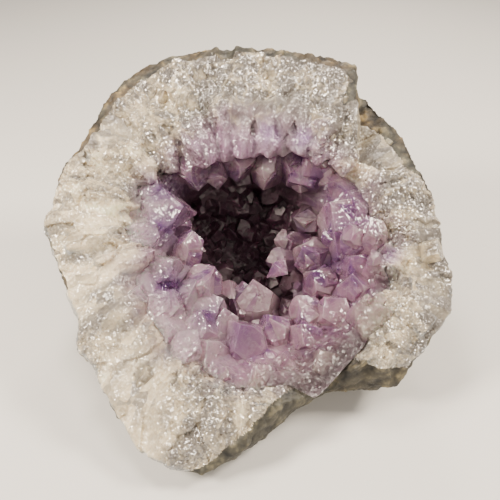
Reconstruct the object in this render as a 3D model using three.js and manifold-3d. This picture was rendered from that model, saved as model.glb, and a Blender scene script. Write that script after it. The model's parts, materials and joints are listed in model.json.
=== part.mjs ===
// A freestanding amethyst: a broken-off end of a geode that stands on its own. Its wall is massive milky
// quartz inside a thin rough rind. One side is broken open as a wide face that leans back, and a hollow
// runs in from the middle of that face. Milky quartz columns lie on the face and point at the hollow, and
// the hollow is lined with one crust of amethyst points.
// Millimetres, +Z up, +Y away from the viewer. The origin lies on the flat that the stone rests on, under
// the middle of the stone.
import * as THREE from "three";
import { mergeVertices } from "three/addons/utils/BufferGeometryUtils.js";
import Module from "manifold-3d";

const wasm = await Module();
wasm.setup();

// The broken face: its lean from level, and the middle of the hollow's mouth on it
const FACE_TILT_DEG = 30;
const MOUTH = new THREE.Vector3(-2, 3, 48);

// The flat under the stone: its middle, and its half width and half depth
const FOOT = { x: -1, y: 9, halfWidth: 41, halfDepth: 42 };

// The edge of the face, seen square on: [degrees round from the right, distance from the mouth's middle]
const FACE_EDGE = [
  [0, 68], [10, 67.5], [19, 68], [25, 69], [32, 71.5], [38, 73.5], [42, 73], [46, 76], [50, 80], [53, 80],
  [57, 78], [61, 78.5], [67, 75.5],
  [79, 74], [92, 72], [106, 75.5], [117, 77.5], [129, 74], [140, 69], [151, 65], [158, 67.5], [170, 65.5],
  [180, 66], [189, 61.5], [200, 61], [208, 58.5], [218, 65.5], [226, 64.5], [238, 71], [248, 78], [256, 78.5],
  [263, 80], [270, 73.5], [279, 67], [287, 61], [298, 59.5], [307, 64], [315, 72.5], [326, 70.5], [336, 74],
  [345, 73], [353, 69],
];

// How far the face stands out from its plane, every 30 degrees round from the right: half way out to the
// edge, and at the edge
const FACE_MIDDLE_LIFT = [0, 1, 5, 6, 3, 1, 0, 0, 1, 2, 0, -1];
const FACE_EDGE_LIFT = [-4, -2, 2, 1, 0, -2, -3, -4, -3, -4, -14, -5];

// The face is broken into small flats: rings of corners round the mouth. Each corner is up to this far off
// the even surface: out of the face, along it, and in degrees round it.
const FACE_RINGS = [0, 13, 21, 29, 35, 41, 47, 53, 59, 65, 71, 77, 86];
const FACE_TURNS = 48;
const FACE_BREAKS = { lift: 1.3, along: 1.2, round: 1.5 };

// The rind: rows of corners from the foot up to the face's edge, and how far they swell outwards
const RIND_ROWS = 7;
const RIND_TURNS = 48;
const RIND_SWELL = 0.1;

// The lumps on the rind: their height, two sizes and the lesser height of the small ones, how much they
// droop, and the share of the climb by which they start low on the stone
const RIND_LUMPS = { height: 3, coarse: 13, fine: 6, fineShare: 0.6, droop: 0.2, lowStart: 0.12 };

// The piece broken out beside the tall block at the top right: its outline on the face, and its floor,
// which is deepest against the block and rises to the right
const NOTCH = {
  outline: [[42, 25], [44.5, 45], [47, 85], [95, 85], [95, 24], [64, 20], [50, 20]],
  depth: 9.5,
  floorSlopeDeg: 13,
};

// The ground that the amethyst points stand on, every 45 degrees round from the right, from the crust's
// outer edge down to the hollow's floor: distance from the hollow's axis, and height over the face's plane
const LINING = [
  { out: [45, 36, 32, 32, 32, 37, 49, 52], up: [-5, -5, -6, -4, -3, -4, -5, -6] },
  { out: [39, 32, 29, 28, 28, 31, 41, 44], up: [-9, -11, -12, -9, -8, -9, -11, -12] },
  { out: [31, 27, 25, 25, 25, 25, 30, 31], up: [-17, -18, -19, -17, -15, -15, -18, -20] },
  { out: [28, 28, 29, 29, 29, 26, 24, 25], up: [-26, -26, -27, -26, -25, -24, -26, -28] },
  { out: [19, 22, 24, 24, 23, 18, 15, 16], up: [-35, -37, -38, -37, -36, -34, -33, -34] },
];
const FLOOR_DEPTH = 39;
const LINING_ROWS = 7;
const LINING_TURNS = 16;
const CRUST_THICKNESS = 3.2;
const GAP = 0.3; // between the crust and the rock behind it
const MOUTH_RIM_LIFT = 3.5; // how far the face stands over the crust's edge
const MOUTH_FLARE = 7; // how far the rock is cut back round that edge, so that the outer points clear it
const POINTS_OVER_FACE = 4; // how far the points may stand out of the face there
const PROFILE_STEP = 0.03; // the share of the lining's profile over which its slope is taken

// Quartz ends in six faces that lean this far from its length
const POINT_FACE_DEG = 51.8;

// A crystal is uneven: each side's distance from its middle, and how far its three broad end faces are set
// back and the three narrow ones brought forward, all in widths
const CRYSTAL_SIDE = { least: 0.42, more: 0.16 };
const CRYSTAL_END = { broadBack: 0.2, narrowForward: 0.25 };

// Everything over the face that is cut away reaches this far out of it, and starts this far under it in
// the mouth
const OVERHEAD = 60;
const UNDER_MOUTH = 8;
const CUT_MARGIN = 5; // how much further an inner cut reaches than what it cuts

const radians = THREE.MathUtils.degToRad;
const sine = (deg) => Math.sin(radians(deg));
const cosine = (deg) => Math.cos(radians(deg));

// A fixed number from 0 to 1 for each piece and draw, so that every build is the same stone
function chance(piece, draw) {
  const spread = Math.sin(piece * 12.9898 + draw * 78.233) * 43758.5453;
  return spread - Math.floor(spread);
}

// The same from -1 to 1
function swing(piece, draw) {
  return 2 * chance(piece, draw) - 1;
}

// The value at place on a smooth curve through evenly spaced values, which value(k) gives
function smooth(value, place) {
  const first = Math.floor(place);
  const t = place - first;
  const [a, b, c, d] = [-1, 0, 1, 2].map((k) => value(first + k));
  return b + 0.5 * t * (c - a + t * (2 * a - 5 * b + 4 * c - d + t * (3 * (b - c) + d - a)));
}

// The same through values that are evenly spaced round a full turn
function around(values, deg) {
  const place = (THREE.MathUtils.euclideanModulo(deg, 360) * values.length) / 360;
  return smooth((k) => values[(k + values.length) % values.length], place);
}

// The face's edge between two of its listed points
function edgeRadius(deg) {
  const turn = THREE.MathUtils.euclideanModulo(deg, 360);
  const next = FACE_EDGE.findIndex(([at]) => at > turn);
  const last = FACE_EDGE.length - 1;
  const [fromDeg, fromRadius] = FACE_EDGE[next === -1 ? last : next - 1];
  const [toDeg, toRadius] = next === -1 ? [360, FACE_EDGE[0][1]] : FACE_EDGE[next];
  return THREE.MathUtils.mapLinear(turn, fromDeg, toDeg, fromRadius, toRadius);
}

// Soft lumps: random heights on a grid of the given size, blended smoothly between its corners
function lumps(point, size) {
  const cell = point.clone().divideScalar(size);
  const base = cell.clone().floor();
  const [fx, fy, fz] = ["x", "y", "z"].map((k) => THREE.MathUtils.smoothstep(cell[k] - base[k], 0, 1));
  let sum = 0;
  for (let corner = 0; corner < 8; corner++) {
    const [dx, dy, dz] = [corner & 1, (corner >> 1) & 1, corner >> 2];
    const weight = (dx ? fx : 1 - fx) * (dy ? fy : 1 - fy) * (dz ? fz : 1 - fz);
    sum += weight * chance(base.x + dx + 57 * (base.y + dy), base.z + dz + size);
  }
  return 2 * sum - 1;
}

// The face's own frame: X to the right, Y up the slope, Z straight out of the face
const faceFrame = new THREE.Matrix4()
  .makeRotationX(radians(FACE_TILT_DEG))
  .setPosition(MOUTH);

function onFace(deg, radius, lift) {
  return new THREE.Vector3(radius * cosine(deg), radius * sine(deg), lift);
}

// The face's height over its plane
function faceLift(deg, radius) {
  const inner = around(LINING[0].out, deg);
  const share = THREE.MathUtils.clamp((radius - inner) / (edgeRadius(deg) - inner), 0, 1.2);
  const ends = [around(LINING[0].up, deg) + MOUTH_RIM_LIFT, around(FACE_EDGE_LIFT, deg)];
  const bow = around(FACE_MIDDLE_LIFT, deg) - (ends[0] + ends[1]) / 2;
  return ends[0] + (ends[1] - ends[0]) * share + bow * 4 * share * (1 - share);
}

// A closed mesh as a solid. Faces that closed up to a line are dropped with the merge.
function solid(geometry) {
  const bare = geometry.index ? geometry.toNonIndexed() : geometry.clone();
  bare.deleteAttribute("normal");
  bare.deleteAttribute("uv");
  const merged = mergeVertices(bare, 1e-3);
  return new wasm.Manifold(
    new wasm.Mesh({
      numProp: 3,
      vertProperties: merged.attributes.position.array,
      triVerts: new Uint32Array(merged.index.array),
    }),
  );
}

// A lathe whose every ring is placed by a function of its row and the degrees round, closed on the axis at
// both ends
function ringed(rowCount, segments, place) {
  const profile = Array.from({ length: rowCount }, (_, row) => new THREE.Vector2(1, row));
  const geometry = new THREE.LatheGeometry(profile, segments);
  const position = geometry.attributes.position;
  for (let i = 0; i < position.count; i++) {
    const turn = Math.floor(i / rowCount) % segments;
    position.setXYZ(i, ...place(i % rowCount, (turn * 360) / segments).toArray());
  }
  return geometry;
}

// The rough outside. Rows run from the middle of the foot, up the rind and past the face's edge, to a
// point over it.
function rindSolid() {
  const place = (row, deg) => {
    if (row === 0) return new THREE.Vector3(FOOT.x, FOOT.y, 0);
    if (row === RIND_ROWS + 2) return onFace(deg, edgeRadius(deg), OVERHEAD).applyMatrix4(faceFrame);
    if (row > RIND_ROWS + 2) return onFace(deg, 0, OVERHEAD).applyMatrix4(faceFrame);
    const edge = onFace(deg, edgeRadius(deg), around(FACE_EDGE_LIFT, deg)).applyMatrix4(faceFrame);
    const [footX, footY] = [FOOT.halfWidth * cosine(deg) + FOOT.x, FOOT.halfDepth * sine(deg) + FOOT.y];
    const foot = new THREE.Vector3(footX, footY, 0);
    const climb = (row - 1) / RIND_ROWS;
    const outward = Math.sqrt(climb) + RIND_SWELL * Math.sin(Math.PI * climb);
    const point = foot.lerp(edge, outward).setZ(edge.z * climb);
    const { height, coarse, fine, fineShare, droop, lowStart } = RIND_LUMPS;
    const rough = climb === 0 ? 0 : height * Math.sin(Math.PI * Math.min(climb + lowStart, 1));
    const lump = lumps(point, coarse) + fineShare * lumps(point, fine);
    return point.addScaledVector(new THREE.Vector3(cosine(deg), sine(deg), -droop), rough * lump);
  };
  return solid(ringed(RIND_ROWS + 4, RIND_TURNS, place));
}

// Everything over the broken face
function overFaceSolid() {
  const place = (row, deg) => {
    if (row === 0) return onFace(0, 0, -UNDER_MOUTH).applyMatrix4(faceFrame);
    if (row > FACE_RINGS.length) return onFace(0, 0, OVERHEAD + CUT_MARGIN).applyMatrix4(faceFrame);
    const piece = row * 100 + deg;
    const ring = FACE_RINGS[Math.min(row, FACE_RINGS.length - 1)];
    const radius = ring + FACE_BREAKS.along * swing(piece, 1);
    if (row === FACE_RINGS.length) return onFace(deg, radius, OVERHEAD + CUT_MARGIN).applyMatrix4(faceFrame);
    const turned = deg + FACE_BREAKS.round * swing(piece, 2);
    const lift = faceLift(turned, radius) + FACE_BREAKS.lift * swing(piece, 3);
    return onFace(turned, radius, lift).applyMatrix4(faceFrame);
  };
  return solid(ringed(FACE_RINGS.length + 2, FACE_TURNS, place));
}

function notchSolid() {
  const outline = new THREE.Shape(NOTCH.outline.map(([x, y]) => new THREE.Vector2(x, y)));
  const block = new THREE.ExtrudeGeometry(outline, { depth: OVERHEAD, bevelEnabled: false });
  const cliff = NOTCH.outline[0][0];
  block.translate(-cliff, 0, 0).rotateY(-radians(NOTCH.floorSlopeDeg)).translate(cliff, 0, -NOTCH.depth);
  return solid(block.applyMatrix4(faceFrame));
}

// The lining's profile: share runs from 0 at the crust's edge to 1 in the middle of the floor
function liningProfile(deg, share) {
  const place = THREE.MathUtils.clamp(share, 0, 1) * LINING.length;
  const at = (name, end) => (k) => (k < LINING.length ? around(LINING[Math.max(k, 0)][name], deg) : end);
  return new THREE.Vector2(Math.max(smooth(at("out", 0), place), 0), smooth(at("up", -FLOOR_DEPTH), place));
}

// A point on the lining, or square behind it in the rock
function onLining(deg, share, behind = 0) {
  const here = liningProfile(deg, share);
  if (share === 1) return onFace(deg, 0, here.y - behind);
  const [before, after] = [-PROFILE_STEP, PROFILE_STEP].map((step) => liningProfile(deg, share + step));
  const run = after.sub(before).normalize();
  return onFace(deg, Math.max(here.x - run.y * behind, 0), here.y + run.x * behind);
}

// The room that the crust and its points fill: the lining moved back into the rock, and a flared space
// over it
function roomSolid(behind) {
  const place = (row, deg) => {
    if (row <= LINING_ROWS) return onLining(deg, 1 - row / LINING_ROWS, behind).applyMatrix4(faceFrame);
    if (row === LINING_ROWS + 3) return onFace(0, 0, OVERHEAD).applyMatrix4(faceFrame);
    const radius = around(LINING[0].out, deg) + MOUTH_FLARE;
    const lift = row === LINING_ROWS + 1 ? faceLift(deg, radius) + POINTS_OVER_FACE - behind : OVERHEAD;
    return onFace(deg, radius + behind, lift).applyMatrix4(faceFrame);
  };
  return solid(ringed(LINING_ROWS + 4, LINING_TURNS, place));
}

// The open space inside the crust, and all that is over the crust's edge
function openSpaceSolid() {
  const place = (row, deg) => {
    if (row <= LINING_ROWS) return onLining(deg, 1 - row / LINING_ROWS).applyMatrix4(faceFrame);
    if (row === LINING_ROWS + 3) return onFace(0, 0, OVERHEAD + CUT_MARGIN).applyMatrix4(faceFrame);
    const lift = row === LINING_ROWS + 1 ? around(LINING[0].up, deg) : OVERHEAD + CUT_MARGIN;
    return onFace(deg, around(LINING[0].out, deg) + 2 * MOUTH_FLARE, lift).applyMatrix4(faceFrame);
  };
  return solid(ringed(LINING_ROWS + 4, LINING_TURNS, place));
}

// One quartz crystal: an uneven six-sided prism that ends in six leaning faces, three of them broad.
// tip and along are in the face's frame. grow makes it larger all round.
function crystal({ tip, along, width, length, piece }, grow = 0) {
  const { least, more } = CRYSTAL_SIDE;
  const half = [0, 1, 2, 3, 4, 5].map((side) => width * (least + more * chance(piece, side)) + grow);
  const corner = (near, next, deg) => {
    const [p, q] = [near - next / 2, next - near / 2].map((v) => v / sine(60) ** 2);
    return new THREE.Vector2(p * cosine(deg) + q * cosine(deg + 60), p * sine(deg) + q * sine(deg + 60));
  };
  const outline = new THREE.Shape(half.map((near, side) => corner(near, half[(side + 1) % 6], 60 * side)));
  const prism = new THREE.ExtrudeGeometry(outline, { depth: length, bevelEnabled: false });
  let made = solid(prism.translate(0, 0, -length));
  for (let side = 0; side < 6; side++) {
    const broad = side % 2 === 0;
    const setBack = broad ? CRYSTAL_END.broadBack : -CRYSTAL_END.narrowForward;
    const back = setBack * width * chance(piece, 6 + side);
    const [lean, rise] = [sine(POINT_FACE_DEG), cosine(POINT_FACE_DEG)];
    made = made.trimByPlane([-lean * cosine(60 * side), -lean * sine(60 * side), -rise], back * rise - grow);
  }
  const lengthwise = new THREE.Vector3(0, 0, 1);
  const spin = new THREE.Quaternion().setFromAxisAngle(lengthwise, 2 * Math.PI * chance(piece, 12));
  const turned = new THREE.Quaternion().setFromUnitVectors(lengthwise, along.clone().normalize());
  const placed = new THREE.Matrix4().compose(tip, turned.multiply(spin), new THREE.Vector3(1, 1, 1));
  return made.transform(placed.premultiply(faceFrame).elements);
}

// The large columns that lie side by side in the top block, with their ends over the hollow, and the ones
// that show best to the left of it: where the tip is (degrees round, distance out, height over the plane),
// which way it points in degrees round the face, its width and its length
const LARGE_COLUMNS = [
  { deg: 27, out: 40, up: -2, aim: 267, width: 8, length: 40 },
  { deg: 39, out: 35, up: 1, aim: 266, width: 11, length: 34 },
  { deg: 49, out: 31, up: 3, aim: 264, width: 9, length: 44 },
  { deg: 58, out: 29, up: 1, aim: 266, width: 9, length: 42 },
  { deg: 67, out: 25, up: 3, aim: 264, width: 9, length: 46 },
  { deg: 78, out: 24, up: 1, aim: 268, width: 9, length: 46 },
  { deg: 89, out: 22, up: 3, aim: 270, width: 10, length: 48 },
  { deg: 102, out: 22, up: 1, aim: 276, width: 10, length: 46 },
  { deg: 119, out: 22, up: 3, aim: 287, width: 12, length: 46 },
  { deg: 135, out: 28, up: -1, aim: 308, width: 11, length: 36 },
  { deg: 150, out: 31, up: -1, aim: 328, width: 12, length: 30 },
  { deg: 167, out: 32, up: -2, aim: 350, width: 12, length: 28 },
  { deg: 186, out: 33, up: -3, aim: 4, width: 11, length: 24 },
];

const LARGE_COLUMN_SLOPE = 0.05;

// Rows of smaller milky columns that lie sunk in the face and point at the hollow. The first row leaves
// out where the large columns are, and no row crosses the notch.
const COLUMN_ROWS = [
  { out: -3, count: 20, width: 12, length: 20, without: [[24, 195], [262, 312]] },
  { out: 9, count: 19, width: 12, length: 18, without: [] },
  { out: 21, count: 15, width: 11, length: 16, without: [] },
];
const NOTCH_SPAN = [18, 60];

// How unevenly they lie: their place round in steps of the row and out from it, how far they stand proud
// of the face at least and at most, how far they point past the hollow's middle, how steeply, and their
// width
const COLUMN_SPREAD = { round: 0.8, out: 3.5, proud: [0.8, 3], aimDeg: 20, steeper: 0.15, width: 0.25 };

function faceColumns() {
  const found = LARGE_COLUMNS.map(({ deg, out, up, aim, width, length }, k) => ({
    tip: onFace(deg, out, up),
    along: onFace(aim, 1, LARGE_COLUMN_SLOPE),
    width,
    length,
    piece: 1 + k,
  }));
  COLUMN_ROWS.forEach((row, r) => {
    for (let k = 0; k < row.count; k++) {
      const piece = 100 * (r + 1) + k;
      const deg = ((k + COLUMN_SPREAD.round * chance(piece, 20)) * 360) / row.count;
      if ([...row.without, NOTCH_SPAN].some(([from, to]) => deg > from && deg < to)) continue;
      const radius = around(LINING[0].out, deg) + row.out + COLUMN_SPREAD.out * swing(piece, 21);
      const width = row.width * (1 + COLUMN_SPREAD.width * swing(piece, 25));
      const lift = faceLift(deg, radius);
      const slope = (lift - faceLift(deg, radius + row.length)) / row.length;
      const proud = THREE.MathUtils.lerp(...COLUMN_SPREAD.proud, chance(piece, 22));
      const aim = deg + 180 + COLUMN_SPREAD.aimDeg * swing(piece, 23);
      found.push({
        tip: onFace(deg, radius, lift + proud - width / 2),
        along: onFace(aim, 1, slope + COLUMN_SPREAD.steeper * chance(piece, 24)),
        width,
        length: row.length,
        piece,
      });
    }
  });
  return found;
}

// The amethyst points that show best: where the tip is, which way it points (degrees round the face, and
// degrees out of it), and its width
const LARGE_POINTS = [
  { deg: 132, out: 22, up: -8, aim: 285, rise: -10, width: 10 },
  { deg: 114, out: 19, up: -10, aim: 275, rise: -15, width: 7 },
  { deg: 94, out: 20, up: -9, aim: 265, rise: -15, width: 9 },
  { deg: 65, out: 20, up: -11, aim: 260, rise: -15, width: 10 },
  { deg: 51, out: 26, up: -11, aim: 250, rise: -10, width: 8 },
  { deg: 55, out: 28, up: -6, aim: 245, rise: 0, width: 8 },
  { deg: 36, out: 31, up: -8, aim: 230, rise: 0, width: 10 },
  { deg: 160, out: 18, up: 1, aim: 350, rise: 42, width: 16 },
  { deg: 174, out: 16, up: -6, aim: 70, rise: 45, width: 9 },
  { deg: 239, out: 14, up: -6, aim: 40, rise: 45, width: 11 },
  { deg: 210, out: 24, up: -1, aim: 20, rise: 60, width: 12 },
  { deg: 277, out: 14, up: -14, aim: 95, rise: 45, width: 11 },
  { deg: 271, out: 33, up: -3, aim: 110, rise: 70, width: 15 },
  { deg: 288, out: 30, up: -8, aim: 120, rise: 55, width: 11 },
  { deg: 312, out: 29, up: -9, aim: 130, rise: 50, width: 11 },
  { deg: 303, out: 38, up: -6, aim: 120, rise: 65, width: 12 },
  { deg: 288, out: 44, up: -3, aim: 110, rise: 60, width: 12 },
  { deg: 276, out: 46, up: -1, aim: 100, rise: 65, width: 12 },
  { deg: 302, out: 49, up: -2, aim: 110, rise: 60, width: 12 },
  { deg: 325, out: 10, up: -19, aim: 190, rise: 20, width: 9 },
  { deg: 14, out: 12, up: -18, aim: 180, rise: 25, width: 9 },
  { deg: 29, out: 21, up: -14, aim: 190, rise: 40, width: 10 },
  { deg: 41, out: 28, up: -15, aim: 210, rise: 25, width: 9 },
  { deg: 351, out: 21, up: -9, aim: 170, rise: 60, width: 12 },
  { deg: 17, out: 33, up: -2, aim: 150, rise: 60, width: 17 },
  { deg: 31, out: 35, up: -5, aim: 200, rise: 45, width: 9 },
  { deg: 4, out: 43, up: 1, aim: 110, rise: 50, width: 9 },
  { deg: 345, out: 38, up: -3, aim: 160, rise: 60, width: 10 },
  { deg: 352, out: 48, up: 0, aim: 140, rise: 60, width: 9 },
  { deg: 333, out: 27, up: -9, aim: 150, rise: 60, width: 12 },
  { deg: 336, out: 40, up: -3, aim: 140, rise: 65, width: 11 },
  { deg: 246, out: 30, up: -4, aim: 80, rise: 60, width: 12 },
  { deg: 227, out: 31, up: 0, aim: 50, rise: 60, width: 11 },
];

// A large point's length, which is mostly sunk in the crust: a multiple of its width, and more
const LARGE_POINT_LENGTH = { widths: 1.1, more: 4 };

// Rings of amethyst points down the lining, which fill in round the large ones:
// where the ring is, how many points, and their width and reach
const POINT_RINGS = [
  { share: 0.01, count: 18, width: 12, reach: 8 },
  { share: 0.17, count: 15, width: 12, reach: 9 },
  { share: 0.34, count: 12, width: 12, reach: 9 },
  { share: 0.52, count: 11, width: 12, reach: 9 },
  { share: 0.7, count: 9, width: 12, reach: 8 },
  { share: 0.88, count: 4, width: 11, reach: 7 },
];

// How unevenly they grow: their place round in steps of the ring and down the lining, how they lean, their
// reach and width. They lean in towards a place in the hollow's middle, and start this far down in the
// crust.
const POINT_SPREAD = { round: 0.5, down: 0.025, lean: 0.25, reach: 0.2, width: 0.2 };
const POINT_LEAN_IN = { share: 0.3, depth: 10 };
const POINT_ROOT = 7;
const POINT_CLEARANCE = 0.55; // how near to a large point's tip another may end, in widths of the large one

function amethystPoints() {
  const large = LARGE_POINTS.map(({ deg, out, up, aim, rise, width }, k) => ({
    tip: onFace(deg, out, up),
    along: onFace(aim, cosine(rise), sine(rise)),
    width,
    length: LARGE_POINT_LENGTH.widths * width + LARGE_POINT_LENGTH.more,
    piece: 900 + k,
  }));
  const hollowMiddle = onFace(0, 0, -POINT_LEAN_IN.depth);
  const found = [...large];
  POINT_RINGS.forEach((ring, r) => {
    for (let k = 0; k < ring.count; k++) {
      const piece = 1000 + 100 * r + k;
      const step = 360 / ring.count;
      const deg = (k + 0.5 * (r % 2) + POINT_SPREAD.round * chance(piece, 20)) * step;
      const share = Math.max(ring.share + POINT_SPREAD.down * swing(piece, 21), 0);
      const root = onLining(deg, share);
      const downhill = onLining(deg, share + PROFILE_STEP).sub(root);
      const sideways = onLining(deg + 3, share).sub(root);
      const along = sideways.cross(downhill).normalize();
      along.lerp(hollowMiddle.clone().sub(root).normalize(), POINT_LEAN_IN.share).normalize();
      along.x += POINT_SPREAD.lean * swing(piece, 22);
      along.y += POINT_SPREAD.lean * swing(piece, 23);
      const reach = ring.reach * (1 + POINT_SPREAD.reach * swing(piece, 24));
      const tip = root.clone().addScaledVector(along.normalize(), reach);
      if (large.some((other) => other.tip.distanceTo(tip) < POINT_CLEARANCE * other.width)) continue;
      const width = ring.width * (1 + POINT_SPREAD.width * swing(piece, 25));
      found.push({ tip, along, width, length: reach + POINT_ROOT, piece });
    }
  });
  return found;
}

// The largest of the bodies that a cut left
function mainBody(made) {
  return made.decompose().reduce((most, body) => (body.volume() > most.volume() ? body : most));
}

function named(name, made, look) {
  const { numProp, vertProperties, triVerts, numVert } = made.getMesh();
  const position = new Float32Array(3 * numVert);
  for (let i = 0; i < numVert; i++) {
    position.set(vertProperties.subarray(i * numProp, i * numProp + 3), 3 * i);
  }
  const geometry = new THREE.BufferGeometry()
    .setAttribute("position", new THREE.BufferAttribute(position, 3))
    .setIndex(new THREE.BufferAttribute(triVerts, 1));
  const mesh = new THREE.Mesh(geometry, new THREE.MeshStandardMaterial(look));
  mesh.name = name;
  return mesh;
}

const columns = faceColumns();
const rind = rindSolid();
const columnsInRind = wasm.Manifold.union(columns.map((c) => crystal(c))).intersect(rind);
const rock = rind.subtract(overFaceSolid()).subtract(notchSolid()).subtract(roomSolid(CRUST_THICKNESS + GAP));
const geode = mainBody(rock.add(columnsInRind));

const room = roomSolid(CRUST_THICKNESS);
const points = wasm.Manifold.union(amethystPoints().map((p) => crystal(p)));
const clearOfColumns = wasm.Manifold.union(columns.map((c) => crystal(c, GAP)));
const crust = mainBody(room.subtract(openSpaceSolid()).add(points).intersect(room).subtract(clearOfColumns));

const stone = new THREE.Group();
stone.add(
  named("geode_rock", geode, { color: 0xc4c0b6, roughness: 0.45, metalness: 0, flatShading: true }),
  named("amethyst_crust", crust, { color: 0x8a6a98, roughness: 0.2, metalness: 0, flatShading: true }),
);

export default stone;
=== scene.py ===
import json
import math
from itertools import product

import bmesh
import bpy
import numpy as np
from mathutils import Matrix, Vector
from mathutils.bvhtree import BVHTree
from mathutils.kdtree import KDTree

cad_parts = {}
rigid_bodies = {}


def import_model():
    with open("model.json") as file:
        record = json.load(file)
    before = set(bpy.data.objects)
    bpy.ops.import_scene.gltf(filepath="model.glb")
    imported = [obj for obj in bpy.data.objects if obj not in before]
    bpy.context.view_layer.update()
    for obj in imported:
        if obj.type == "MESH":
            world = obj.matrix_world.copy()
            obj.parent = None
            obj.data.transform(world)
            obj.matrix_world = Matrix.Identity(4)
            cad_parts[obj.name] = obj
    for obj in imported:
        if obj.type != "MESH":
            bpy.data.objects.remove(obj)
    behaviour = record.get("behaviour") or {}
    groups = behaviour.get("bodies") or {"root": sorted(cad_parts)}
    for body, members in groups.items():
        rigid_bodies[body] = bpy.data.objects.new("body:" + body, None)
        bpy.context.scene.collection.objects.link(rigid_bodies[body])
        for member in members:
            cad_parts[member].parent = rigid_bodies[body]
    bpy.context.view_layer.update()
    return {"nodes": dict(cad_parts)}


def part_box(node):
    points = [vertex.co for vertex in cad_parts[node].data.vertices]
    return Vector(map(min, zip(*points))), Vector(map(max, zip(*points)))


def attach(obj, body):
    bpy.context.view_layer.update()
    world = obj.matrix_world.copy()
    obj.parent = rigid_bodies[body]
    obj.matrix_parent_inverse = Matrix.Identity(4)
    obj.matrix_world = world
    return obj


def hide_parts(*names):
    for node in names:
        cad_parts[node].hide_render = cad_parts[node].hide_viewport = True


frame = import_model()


# The geode's wall
# Massive milky quartz, broken across as a wide ring round the hollow. It grew inwards as columns side by
# side, so the break has long chipped splinters, and the blunt ends of some columns hang over the hollow at
# the top. A thin rind of weathered basalt, brown and grey-green, is left on the outside.
mm = 0.001
FACE_TILT = math.radians(30)
MOUTH = Vector((-2, 3, 48)) * mm
RING_RADIUS = 45 * mm
face_frame = Matrix.Translation(MOUTH) @ Matrix.Rotation(FACE_TILT, 4, "X")
face_turn = np.array(face_frame.to_3x3())

SAME_SPOT = 0.002 * mm
WALL_GRAIN = 0.52 * mm
WALL_TRIANGLES = 190_000
SHARP_EDGE = math.radians(38)
RESTING_HEIGHT = 0.3 * mm
EDGE_STEPS = 180

# How the face breaks: the size of its flats, how far they lean and how far they stand out at most
SPLINTER = {"size": 6.5 * mm, "longer": 3, "deeper": 0.6, "tilt": 0.14, "most": 0.6 * mm}
CHIP = {"size": 3.6 * mm, "tilt": 0.12, "most": 0.22 * mm, "where_milky": 0.35}
GRAIN = {"size": 1.7 * mm, "tilt": 0.2, "most": 0.13 * mm, "where_milky": 0.15}
SUGARY = {"size": 16 * mm, "share": (-0.25, 0.35)}
COLUMN_END = {"size": 6.5 * mm, "height": 1.5 * mm, "middle": 0.4}
KNOB = {"size": 4.5 * mm, "height": 1.5 * mm, "middle": 0.5}
GRIT = {"size": 1.7 * mm, "height": 0.6 * mm, "middle": 0.5}
RIND_SUNK = 0.3 * mm
SMOOTHED_ENDS = 0.85
SOFTENING_ROUNDS = {"seam": 120, "left_side": 45, "ends": 14}
FACE_FOUND = {"lean": 0.5, "lift": -8 * mm}

# Parts of the ring, by the degrees round the mouth where each starts, is full, is full up to, and ends
SEAM = (108, 114, 126, 132)
LEFT_SIDE = (134, 149, 285, 300)
UPPER_ENDS = (15, 30, 145, 160)
UPPER_RIND = (8, 22, 150, 170)
CLEAN_SIDE = (178, 192, 262, 280)
LEFT_WALL = (145, 170, 245, 275)
STEEP_SIDE = (130, 150)

# Where a form starts and is full: distances out, heights over the face's plane, and leans of the surface
PAST_RIM = (30 * mm, 36 * mm)
LEFT_DEPTH = (-14 * mm, -8 * mm)
NEAR_FACE = (-8 * mm, -4 * mm)
ENDS_REACH = (31 * mm, 38 * mm)
SMOOTH_REACH = (29 * mm, 36 * mm)
BLOCK = {"lift": (2 * mm, 5 * mm), "back": (15 * mm, 22 * mm)}
CLEAR_COLUMN = (30.5 * mm, 32.5 * mm)
# How much clearer, so greyer, each part of the wall is. The left wall's share is below 0, so it is milkier
# and whiter, partly as painted light.
CLEARER = {"everywhere": 0.5, "block": 0.5, "left_wall_painted_light": -0.3, "over_hollow": 0.5, "column": 0.5}
STEEP = {"lean": (0.35, 0.75), "out": (34 * mm, 42 * mm)}
RIND = {
    "edge": (5 * mm, 9 * mm), "low": (-26 * mm, -18 * mm), "outward": (0.2, 0.4), "under": (-0.35, -0.15),
    "lean": (-0.05, 0.3), "upper_lean": (0.45, 0.7), "clean_above": (-24 * mm, -14 * mm), "ragged": 0.12,
    "band_edge": 1.5 * mm,
}
RIND_BAND = [
    # degrees round the mouth, how wide the rind shows on the face in millimetres
    (12, -1), (24, 2), (38, 5), (46, 9), (52, 9), (58, 5), (135, 5), (165, -1), (258, -1), (268, 3),
    (312, 4), (322, -1),
]

# How far from the mouth's middle the purple reaches, in millimetres, every 45 degrees
PURPLE_REACH = (49, 41, 36, 35, 33, 42, 50, 46, 49)
PURPLE_RAGGED = 4 * mm
PURPLE_FADE = (-10 * mm, 9 * mm)
VIOLET_ZONES = [
    # degrees round the mouth, distance out, radius
    (272, 37, 9), (154, 30, 8), (180, 26, 8), (220, 30, 9), (7, 36, 8), (346, 33, 6), (54, 36.6, 6),
    (71, 33, 6), (348, 51, 6), (251, 31.5, 6),
]

# A quartz crystal: its end faces' lean, its worn edges, and its unevenness as shares of its width
END_FACE_LEAN = math.radians(51.8)
EDGE_WEAR = 0.18 * mm
WEAR_SHARE = 0.1
HALF_WIDTH = {"least": 0.42, "more": 0.16}
END_FACE_SHIFT = (0.2, -0.25)
SPIN_DRAW = 12
OWN_DRAW = 40

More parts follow.
